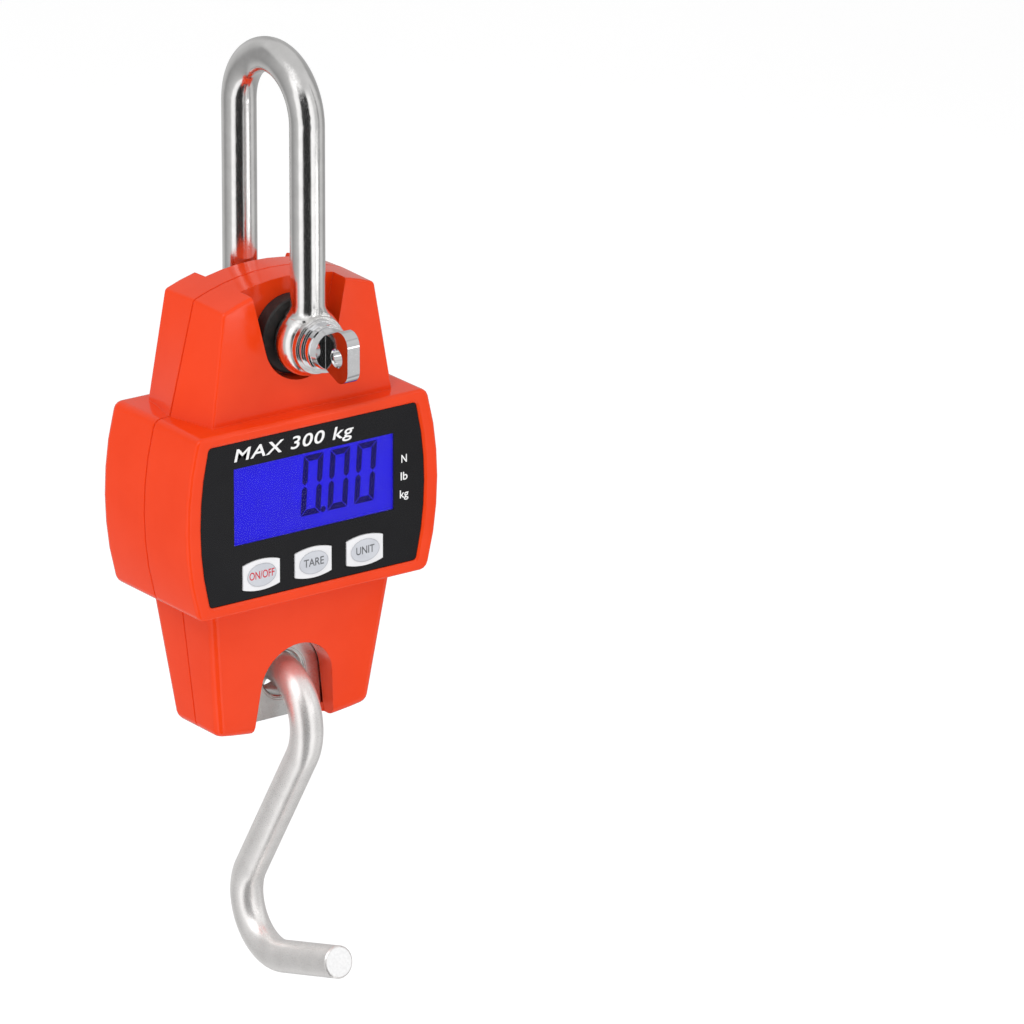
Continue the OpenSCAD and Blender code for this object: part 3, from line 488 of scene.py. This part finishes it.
def lettering(name, words, spot, height, ink, body, wide, slant=0.0, spacing=1.0):
    """Thin printed letters facing forward from the spot, `height` tall and `wide` across."""
    font_curve = bpy.data.curves.new(name, "FONT")
    font_curve.body = words
    font_curve.size = height / CAP_SHARE
    font_curve.align_x = "CENTER"
    font_curve.align_y = "CENTER"
    font_curve.shear = slant
    font_curve.space_character = spacing
    font_curve.extrude = 0.006 * MM
    font_curve.offset = 0.018 * height
    draft = bpy.data.objects.new(name, font_curve)
    bpy.context.scene.collection.objects.link(draft)
    bpy.context.view_layer.update()
    graph = bpy.context.evaluated_depsgraph_get()
    mesh = bpy.data.meshes.new_from_object(draft.evaluated_get(graph))
    bpy.data.objects.remove(draft)
    across = [v.co.x for v in mesh.vertices]
    low, high = min(across), max(across)
    mesh.transform(Matrix.Translation(spot) @ Matrix.Rotation(math.pi / 2, 4, "X")
                   @ Matrix.Diagonal((wide / (high - low), 1, 1, 1))
                   @ Matrix.Translation((-(low + high) / 2, 0, 0)))
    mesh.name = name
    return add_piece(name, mesh, body, ink)


def add_markings():
    """Generic capacity, units and key names, printed on the overlay and the keys."""
    print_y = face_y - 0.004 * MM
    title_wide = 0.75 * (window_high.x - window_low.x)
    lettering("mark_capacity", "MAX 300 kg",
              Vector((window_low.x + title_wide / 2, print_y, middle.z + 16.5 * MM)), 3.0 * MM,
              ink_white, "housing", title_wide, 0.18, 1.1)
    for name, words, rise, wide in (("mark_newton", "N", 6.3, 1.6), ("mark_pound", "lb", 1.9, 2.0),
                                    ("mark_kilogram", "kg", -2.6, 2.5)):
        lettering(name, words, Vector((26.4 * MM, print_y, middle.z + rise * MM)), 1.95 * MM,
                  ink_white, "housing", wide * MM)
    for name, words, ink, wide in (("key_on_off", "ON/OFF", ink_red, 7.2),
                                   ("key_tare", "TARE", ink_grey, 5.8),
                                   ("key_unit", "UNIT", ink_grey, 5.3)):
        low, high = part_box(name)
        spot = Vector(((low.x + high.x) / 2, low.y - 0.009 * MM, (low.z + high.z) / 2))
        lettering("label_" + name, words, spot, 1.9 * MM, ink, name, wide * MM)


def add_key_pads():
    """The pale oval printed on the raised middle of each key, and the grey ring around it."""
    for name in KEYS:
        low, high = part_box(name)
        mid_x, mid_z = (low.x + high.x) / 2, (low.z + high.z) / 2
        for part, finish, half_w, half_h, rise in (("rim_", key_ring, 4.18, 2.88, 0.003),
                                                   ("pad_", key_pad, 3.98, 2.7, 0.006)):
            oval = [(mid_x + half_w * MM * math.cos(a), mid_z + half_h * MM * math.sin(a))
                    for a in circle_angles()]
            mesh = plate_mesh(part + name, [oval], low.y - rise * MM, 0.003 * MM)
            add_piece(part + name, mesh, name, finish)


def digit_segments(x, z, wide, tall, bar, gap, lean):
    """Outlines of the six outer segments of a nought, from its bottom left corner."""
    def put(points):
        return [(x + u + lean * v, z + v) for u, v in points]
    half = tall / 2
    shapes = []
    for flip in (1, -1):
        # top or bottom bar, mitred at both ends
        shapes.append([(gap, 0), (wide - gap, 0), (wide - bar - gap, bar), (bar + gap, bar)])
        # the two uprights of that half
        for side in (1, -1):
            shapes.append([(0, gap), (bar, bar + gap), (bar, half - gap - bar / 2),
                           (bar / 2, half - gap), (0, half - gap - bar / 2)])
            if side < 0:
                shapes[-1] = [(wide - u, v) for u, v in shapes[-1]]
        if flip < 0:
            shapes[-3:] = [[(u, tall - v) for u, v in s] for s in shapes[-3:]]
    return [put(s) for s in shapes]


def add_reading():
    """The reading 0.00 on the display, right-aligned in the window."""
    glass_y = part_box("lcd_panel")[0].y
    wide, tall, bar, gap = 5.7 * MM, 15.0 * MM, 1.5 * MM, 0.14 * MM
    lean = 0.07
    pitch = 7.75 * MM
    dot_r, ink = 0.75 * MM, 0.03 * MM
    low_z = window_low.z + 3.1 * MM
    right = window_high.x - 5.2 * MM
    outlines = []
    for k in range(3):
        outlines += digit_segments(right - wide - k * pitch, low_z, wide, tall, bar, gap, lean)
    dot_x = right - 2 * pitch + 0.85 * MM
    outlines.append([(dot_x + dot_r * math.cos(a), low_z + 0.7 * MM + dot_r * math.sin(a))
                     for a in (math.pi * k / 8 for k in range(16))])
    mesh = plate_mesh("lcd_reading", outlines, glass_y - ink, ink)
    add_piece("lcd_reading", mesh, "housing", segment_ink)


add_key_pads()
add_markings()
add_reading()


# ---------------------------------------------------------------- studio

AZIMUTH, ELEVATION, ROLL = math.radians(34.44), math.radians(19.19), math.radians(-0.34)
DISTANCE = 2.0
FOCAL = 8.178  # in frame widths
ASIDE, BELOW = 0.2356, 0.0265  # of a frame width, from the display's middle to the frame's


def add_camera():
    """The camera at its distance from the display's middle, aimed a little to the right of it."""
    ahead = Vector((math.sin(AZIMUTH) * math.cos(ELEVATION), math.cos(AZIMUTH) * math.cos(ELEVATION),
                    -math.sin(ELEVATION)))
    level = Vector((math.cos(AZIMUTH), -math.sin(AZIMUTH), 0))
    above = level.cross(ahead)
    right = math.cos(ROLL) * level + math.sin(ROLL) * above
    top = math.cos(ROLL) * above - math.sin(ROLL) * level
    aim = (FOCAL * ahead + ASIDE * right - BELOW * top).normalized()
    right = (right - right.dot(aim) * aim).normalized()
    top = right.cross(aim)
    data = bpy.data.cameras.new("camera")
    data.sensor_width = 36
    data.lens = FOCAL * data.sensor_width
    data.clip_start = 0.05
    camera = bpy.data.objects.new("camera", data)
    bpy.context.scene.collection.objects.link(camera)
    turn = Matrix((right, top, -aim)).transposed().to_4x4()
    camera.matrix_world = Matrix.Translation(middle - DISTANCE * ahead) @ turn
    bpy.context.scene.camera = camera


ROOM_LIGHT = 0.68
FLOOR_DROP = 0.15  # from the hook's lowest point to the floor, in metres


def add_world():
    """Even white light from all round, over a background that shows as plain white."""
    world = bpy.data.worlds.new("studio")
    bpy.context.scene.world = world
    world.use_nodes = True
    tree = world.node_tree
    light = tree.nodes["Background"]
    light.inputs["Color"].default_value = (1, 1, 1, 1)
    light.inputs["Strength"].default_value = ROOM_LIGHT
    plain = tree.nodes.new("ShaderNodeBackground")
    plain.inputs["Color"].default_value = (1, 1, 1, 1)
    path = tree.nodes.new("ShaderNodeLightPath")
    either = tree.nodes.new("ShaderNodeMixShader")
    tree.links.new(path.outputs["Is Camera Ray"], either.inputs["Fac"])
    tree.links.new(light.outputs["Background"], either.inputs[1])
    tree.links.new(plain.outputs["Background"], either.inputs[2])
    tree.links.new(either.outputs["Shader"], tree.nodes["World Output"].inputs["Surface"])


# Brightness of the light tent that polished parts reflect, by degrees round from the camera
TENT = [(-180, 0.42), (-150, 0.6), (-124, 0.5), (-110, 0.3), (-58, 0.58), (-50, 1.15), (-28, 1.05),
        (-23, 0.03), (23, 0.03), (28, 1.2), (50, 1.05), (57, 0.62), (73, 0.62), (77, 0.3), (83, 0.34),
        (90, 0.66), (108, 0.6), (120, 0.34), (140, 0.4), (180, 0.5)]
TENT_PEAK = 1.25  # brightness of a stop of colour 1


def tent_material():
    """Light that changes round the tent and turns to an even grey overhead."""
    made = bpy.data.materials.new("tent_cloth")
    made.use_nodes = True
    made.cycles.emission_sampling = "NONE"
    tree = made.node_tree
    tree.nodes.clear()
    place = tree.nodes.new("ShaderNodeTexCoord")
    turn = tree.nodes.new("ShaderNodeMapping")
    turn.inputs["Rotation"].default_value = (0, 0, AZIMUTH + math.pi / 2)
    split = tree.nodes.new("ShaderNodeSeparateXYZ")
    angle = tree.nodes.new("ShaderNodeMath")
    angle.operation = "ARCTAN2"
    tree.links.new(place.outputs["Object"], turn.inputs["Vector"])
    tree.links.new(turn.outputs["Vector"], split.inputs["Vector"])
    tree.links.new(split.outputs["Y"], angle.inputs[0])
    tree.links.new(split.outputs["X"], angle.inputs[1])
    ramp = tree.nodes.new("ShaderNodeValToRGB")
    stops = ramp.color_ramp.elements
    while len(stops) < len(TENT):
        stops.new(0.5)
    for stop, (degrees, bright) in zip(stops, TENT):
        stop.position = 0.5 + degrees / 360
        stop.color = (bright / TENT_PEAK, bright / TENT_PEAK, bright / TENT_PEAK, 1)
    tree.links.new(spread(tree, angle.outputs["Value"], 0, 1, -math.pi, math.pi), ramp.inputs["Fac"])
    overhead = tree.nodes.new("ShaderNodeMix")
    overhead.data_type = "RGBA"
    overhead.inputs["B"].default_value = (0.5, 0.5, 0.5, 1)
    tree.links.new(spread(tree, split.outputs["Z"], 0, 1, 0.32, 0.40), overhead.inputs["Factor"])
    tree.links.new(ramp.outputs["Color"], overhead.inputs["A"])
    glow = tree.nodes.new("ShaderNodeEmission")
    glow.inputs["Strength"].default_value = TENT_PEAK
    tree.links.new(overhead.outputs["Result"], glow.inputs["Color"])
    out = tree.nodes.new("ShaderNodeOutputMaterial")
    tree.links.new(glow.outputs["Emission"], out.inputs["Surface"])
    return made


def show_in_reflections(thing):
    """Makes a thing show in glossy reflections only."""
    thing.visible_camera = False
    thing.visible_diffuse = False
    thing.visible_transmission = False
    thing.visible_shadow = False


def add_tent():
    """A light tent round the object, which only shows in reflections."""
    radius, sides, steps, above_floor = 0.42, 96, 12, 0.001
    wall_top = 0.15
    low = cad_box[0].z - FLOOR_DROP + above_floor - middle.z
    profile = [(0.02, low), (radius * 0.7, low), (radius, low + 0.08), (radius, wall_top)]
    for k in range(1, steps):
        a = math.pi / 2 * k / steps
        profile.append((radius * math.cos(a), wall_top + radius * math.sin(a)))
    points = [(r * math.cos(2 * math.pi * k / sides), r * math.sin(2 * math.pi * k / sides), z)
              for r, z in profile for k in range(sides)]
    points.append((0, 0, wall_top + radius))
    bands = len(profile) - 1
    top = bands * sides
    faces = ring_faces(bands, sides)
    faces += [(top + k, top + (k + 1) % sides, len(points) - 1) for k in range(sides)]
    mesh = bpy.data.meshes.new("tent")
    mesh.from_pydata(points, [], faces)
    mesh.materials.append(tent_material())
    tent = bpy.data.objects.new("tent", mesh)
    tent.location = middle
    bpy.context.scene.collection.objects.link(tent)
    show_in_reflections(tent)


def add_card():
    """A small bright card by the front that only lays a soft sheen on the upper front face."""
    a, e = AZIMUTH, ELEVATION
    away = Vector((math.sin(a) * math.cos(e), -math.cos(a) * math.cos(e), -math.sin(e)))
    face = Vector((-16 * MM, cad_box[0].y + 16 * MM, -24 * MM))
    side = Vector((math.cos(a), math.sin(a), 0))
    rise = side.cross(away)
    half_w, half_h, distance, bright = 22 * MM, 13 * MM, 200 * MM, 2.6
    centre = face + distance * away
    mesh = bpy.data.meshes.new("card")
    mesh.from_pydata([centre + u * half_w * side + v * half_h * rise
                      for u, v in ((-1, -1), (1, -1), (1, 1), (-1, 1))], [], [(0, 1, 2, 3)])
    glow = bpy.data.materials.new("card_glow")
    glow.use_nodes = True
    glow.cycles.emission_sampling = "NONE"
    surface = glow.node_tree.nodes["Principled BSDF"]
    surface.inputs["Base Color"].default_value = (0, 0, 0, 1)
    surface.inputs["Emission Color"].default_value = (1, 1, 1, 1)
    surface.inputs["Emission Strength"].default_value = bright
    mesh.materials.append(glow)
    card = bpy.data.objects.new("card", mesh)
    bpy.context.scene.collection.objects.link(card)
    show_in_reflections(card)


def add_lamp(name, azimuth, elevation, distance, size, power):
    """A soft square lamp aimed at the display, from the given side of the camera's own frame."""
    a, e = math.radians(azimuth), math.radians(elevation)
    away = Vector((math.sin(a) * math.cos(e), -math.cos(a) * math.cos(e), math.sin(e)))
    data = bpy.data.lights.new(name, "AREA")
    data.size = size
    data.energy = power
    lamp = bpy.data.objects.new(name, data)
    bpy.context.scene.collection.objects.link(lamp)
    lamp.location = middle + distance * away
    lamp.rotation_mode = "QUATERNION"
    lamp.rotation_quaternion = (-away).to_track_quat("-Z", "Y")
    lamp.visible_camera = False


def add_floor():
    """A plain pale floor below the hanging scale."""
    half, height = 30.0, cad_box[0].z - FLOOR_DROP
    mesh = bpy.data.meshes.new("floor")
    mesh.from_pydata([(-half, -half, height), (half, -half, height),
                      (half, half, height), (-half, half, height)], [], [(0, 1, 2, 3)])
    paint = material("floor_paint", (0.90, 0.90, 0.90), (0.92, 0.92, 0.92), (0.8, 0.9), tone=2,
                     grain=200, depth=0.00001, Emission_Color=(1, 1, 1, 1), Emission_Strength=0.28)
    mesh.materials.append(paint)
    floor = bpy.data.objects.new("floor", mesh)
    bpy.context.scene.collection.objects.link(floor)


add_camera()
add_world()
add_floor()
add_tent()
add_card()
add_lamp("key_lamp", -62, 48, 1.6, 0.9, 11)
add_lamp("side_lamp", 48, 30, 1.8, 0.8, 5)
bpy.context.scene.view_settings.view_transform = "Standard"
